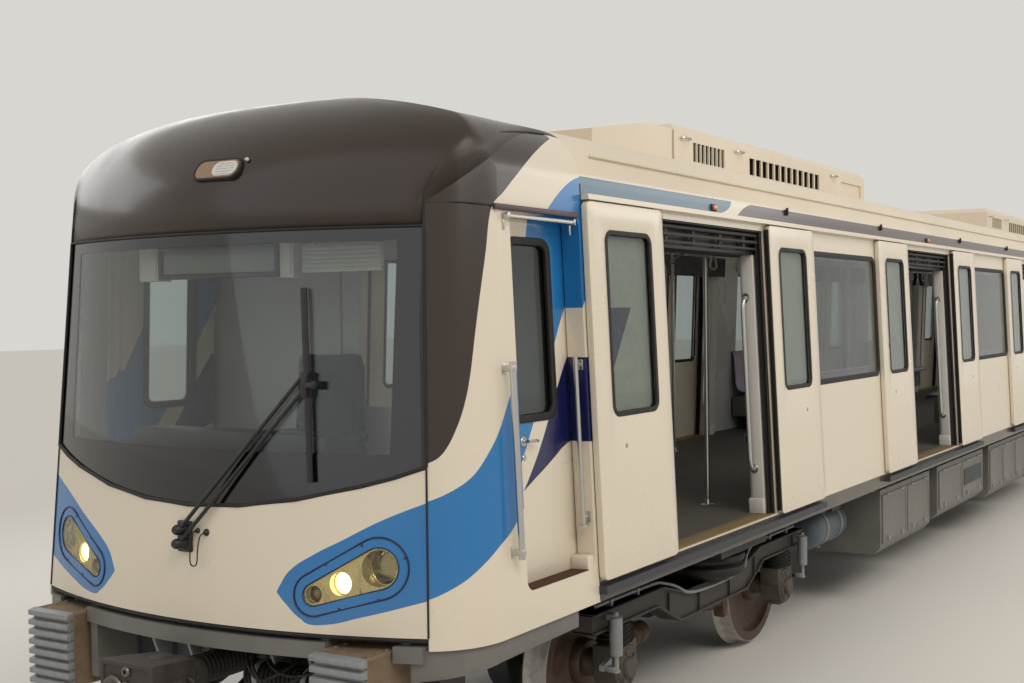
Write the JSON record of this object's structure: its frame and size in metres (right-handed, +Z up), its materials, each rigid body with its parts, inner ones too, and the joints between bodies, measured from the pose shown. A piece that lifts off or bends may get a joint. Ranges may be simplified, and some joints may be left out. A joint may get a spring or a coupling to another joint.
{
  "type": "metro train driving motor car",
  "caption": "Driving motor car of a metro train with a rounded cab, sliding passenger doors, two motor bogies and roof air-conditioning units, on its wheels.",
  "frame": {"origin": "on the ground under the wheel flanges, midway between the coupler faces on the centre line", "axes": "+X towards the cab, +Y to the car's left side with the open doors, +Z up"},
  "size_m": [19.77, 2.8972, 3.6499],
  "materials": {
    "body_paint": "gloss",
    "hood_paint": "gloss",
    "roof_paint": "satin",
    "frame_steel": "satin",
    "bogie_steel": "satin",
    "wheel_steel": "worn",
    "rubber": "matt",
    "stainless": "brushed",
    "aluminium": "satin",
    "glass": "tinted",
    "lamp": "gloss",
    "seat_plastic": "satin",
    "lining": "satin",
    "seat_fabric": "woven",
    "case_grey": "satin"
  },
  "bodies": {
    "carbody": {"underframe": "frame_steel", "side_wall_left": "body_paint", "side_wall_right": "body_paint", "roof_shell": "roof_paint", "rear_end_wall": "body_paint", "cab_side_left": "body_paint", "cab_side_right": "body_paint", "cab_front_panel": "body_paint", "cab_hood": "hood_paint", "windscreen": "glass", "headlamp_bowls": "lamp", "headlamp_lenses": "glass", "saloon_windows": "glass", "gangway": "rubber", "coupler_rear": "frame_steel", "anti_climbers": "case_grey", "front_valance": "case_grey", "roof_units": "case_grey", "underfloor_boxes": "case_grey", "benches": "seat_plastic", "grab_poles": "stainless", "cab_partition": "lining", "cab_desk": "lamp", "driver_seat": "seat_fabric", "cab_handrails": "stainless", "windscreen_wiper": "frame_steel", "door_tracks": "frame_steel", "door_sills": "aluminium"},
    "front_coupler": {"coupler_front": "frame_steel"},
    "saloon_cab_door": {"partition_door": "lining"},
    "cab_door_left": {"cab_door_left": "body_paint"},
    "cab_door_right": {"cab_door_right": "body_paint"},
    "bogie_front": {"bogie_frame_front": "bogie_steel", "axleboxes_front": "bogie_steel", "springs_front": "rubber", "motors_front": "frame_steel"},
    "bogie_rear": {"bogie_frame_rear": "bogie_steel", "axleboxes_rear": "bogie_steel", "springs_rear": "rubber", "motors_rear": "frame_steel"},
    "wheelset_1": {"wheelset_1": "wheel_steel"},
    "wheelset_2": {"wheelset_2": "wheel_steel"},
    "wheelset_3": {"wheelset_3": "wheel_steel"},
    "wheelset_4": {"wheelset_4": "wheel_steel"},
    "leaf_left_1_front": {"leaf_left_1_front": "body_paint"},
    "leaf_left_1_rear": {"leaf_left_1_rear": "body_paint"},
    "leaf_right_1_front": {"leaf_right_1_front": "body_paint"},
    "leaf_right_1_rear": {"leaf_right_1_rear": "body_paint"},
    "leaf_left_2_front": {"leaf_left_2_front": "body_paint"},
    "leaf_left_2_rear": {"leaf_left_2_rear": "body_paint"},
    "leaf_right_2_front": {"leaf_right_2_front": "body_paint"},
    "leaf_right_2_rear": {"leaf_right_2_rear": "body_paint"},
    "leaf_left_3_front": {"leaf_left_3_front": "body_paint"},
    "leaf_left_3_rear": {"leaf_left_3_rear": "body_paint"},
    "leaf_right_3_front": {"leaf_right_3_front": "body_paint"},
    "leaf_right_3_rear": {"leaf_right_3_rear": "body_paint"},
    "leaf_left_4_front": {"leaf_left_4_front": "body_paint"},
    "leaf_left_4_rear": {"leaf_left_4_rear": "body_paint"},
    "leaf_right_4_front": {"leaf_right_4_front": "body_paint"},
    "leaf_right_4_rear": {"leaf_right_4_rear": "body_paint"}
  },
  "joints": [
    {"name": "front_coupler_swing", "type": "hinge", "parent": "carbody", "child": "front_coupler", "pos_m": [8.95, 0, 0.825], "axis": [0, 0, 1], "range_deg": [-10, 10]},
    {"name": "saloon_cab_door_hinge", "type": "hinge", "parent": "carbody", "child": "saloon_cab_door", "pos_m": [8.136, 0.32, 2], "axis": [0, 0, 1], "range_deg": [-90, 0]},
    {"name": "cab_door_left_hinge", "type": "hinge", "parent": "carbody", "child": "cab_door_left", "pos_m": [8.255, 1.27513, 1.03433], "axis": [0, -0.0454, 0.999], "range_deg": [-85, 0]},
    {"name": "cab_door_right_hinge", "type": "hinge", "parent": "carbody", "child": "cab_door_right", "pos_m": [8.255, -1.27513, 1.03433], "axis": [0, 0.0454, 0.999], "range_deg": [0, 85]},
    {"name": "bogie_front_yaw", "type": "hinge", "parent": "carbody", "child": "bogie_front", "pos_m": [6.3, 0, 0.6], "axis": [0, 0, 1], "range_deg": [-4, 4]},
    {"name": "bogie_rear_yaw", "type": "hinge", "parent": "carbody", "child": "bogie_rear", "pos_m": [-6.3, 0, 0.6], "axis": [0, 0, 1], "range_deg": [-4, 4]},
    {"name": "wheelset_1_spin", "type": "hinge", "parent": "bogie_front", "child": "wheelset_1", "pos_m": [7.45, 0, 0.453], "axis": [0, 1, 0], "continuous": true},
    {"name": "wheelset_2_spin", "type": "hinge", "parent": "bogie_front", "child": "wheelset_2", "pos_m": [5.15, 0, 0.453], "axis": [0, 1, 0], "continuous": true},
    {"name": "wheelset_3_spin", "type": "hinge", "parent": "bogie_rear", "child": "wheelset_3", "pos_m": [-5.15, 0, 0.453], "axis": [0, 1, 0], "continuous": true},
    {"name": "wheelset_4_spin", "type": "hinge", "parent": "bogie_rear", "child": "wheelset_4", "pos_m": [-7.45, 0, 0.453], "axis": [0, 1, 0], "continuous": true},
    {"name": "leaf_left_1_front_slide", "type": "slide", "parent": "carbody", "child": "leaf_left_1_front", "axis": [1, 0, 0], "range_m": [-0.708, 0]},
    {"name": "leaf_left_1_rear_slide", "type": "slide", "parent": "carbody", "child": "leaf_left_1_rear", "axis": [1, 0, 0], "range_m": [0, 0.708]},
    {"name": "leaf_right_1_front_slide", "type": "slide", "parent": "carbody", "child": "leaf_right_1_front", "axis": [1, 0, 0], "range_m": [0, 0.708]},
    {"name": "leaf_right_1_rear_slide", "type": "slide", "parent": "carbody", "child": "leaf_right_1_rear", "axis": [1, 0, 0], "range_m": [-0.708, 0]},
    {"name": "leaf_left_2_front_slide", "type": "slide", "parent": "carbody", "child": "leaf_left_2_front", "axis": [1, 0, 0], "range_m": [-0.708, 0]},
    {"name": "leaf_left_2_rear_slide", "type": "slide", "parent": "carbody", "child": "leaf_left_2_rear", "axis": [1, 0, 0], "range_m": [0, 0.708]},
    {"name": "leaf_right_2_front_slide", "type": "slide", "parent": "carbody", "child": "leaf_right_2_front", "axis": [1, 0, 0], "range_m": [0, 0.708]},
    {"name": "leaf_right_2_rear_slide", "type": "slide", "parent": "carbody", "child": "leaf_right_2_rear", "axis": [1, 0, 0], "range_m": [-0.708, 0]},
    {"name": "leaf_left_3_front_slide", "type": "slide", "parent": "carbody", "child": "leaf_left_3_front", "axis": [1, 0, 0], "range_m": [-0.708, 0]},
    {"name": "leaf_left_3_rear_slide", "type": "slide", "parent": "carbody", "child": "leaf_left_3_rear", "axis": [1, 0, 0], "range_m": [0, 0.708]},
    {"name": "leaf_right_3_front_slide", "type": "slide", "parent": "carbody", "child": "leaf_right_3_front", "axis": [1, 0, 0], "range_m": [0, 0.708]},
    {"name": "leaf_right_3_rear_slide", "type": "slide", "parent": "carbody", "child": "leaf_right_3_rear", "axis": [1, 0, 0], "range_m": [-0.708, 0]},
    {"name": "leaf_left_4_front_slide", "type": "slide", "parent": "carbody", "child": "leaf_left_4_front", "axis": [1, 0, 0], "range_m": [-0.708, 0]},
    {"name": "leaf_left_4_rear_slide", "type": "slide", "parent": "carbody", "child": "leaf_left_4_rear", "axis": [1, 0, 0], "range_m": [0, 0.708]},
    {"name": "leaf_right_4_front_slide", "type": "slide", "parent": "carbody", "child": "leaf_right_4_front", "axis": [1, 0, 0], "range_m": [0, 0.708]},
    {"name": "leaf_right_4_rear_slide", "type": "slide", "parent": "carbody", "child": "leaf_right_4_rear", "axis": [1, 0, 0], "range_m": [-0.708, 0]}
  ],
  "couplings": [
    {"joint": "leaf_left_1_rear_slide", "follows": "leaf_left_1_front_slide", "ratio": -1},
    {"joint": "leaf_right_1_rear_slide", "follows": "leaf_right_1_front_slide", "ratio": -1},
    {"joint": "leaf_left_2_rear_slide", "follows": "leaf_left_2_front_slide", "ratio": -1},
    {"joint": "leaf_right_2_rear_slide", "follows": "leaf_right_2_front_slide", "ratio": -1},
    {"joint": "leaf_left_3_rear_slide", "follows": "leaf_left_3_front_slide", "ratio": -1},
    {"joint": "leaf_right_3_rear_slide", "follows": "leaf_right_3_front_slide", "ratio": -1},
    {"joint": "leaf_left_4_rear_slide", "follows": "leaf_left_4_front_slide", "ratio": -1},
    {"joint": "leaf_right_4_rear_slide", "follows": "leaf_right_4_front_slide", "ratio": -1}
  ]
}
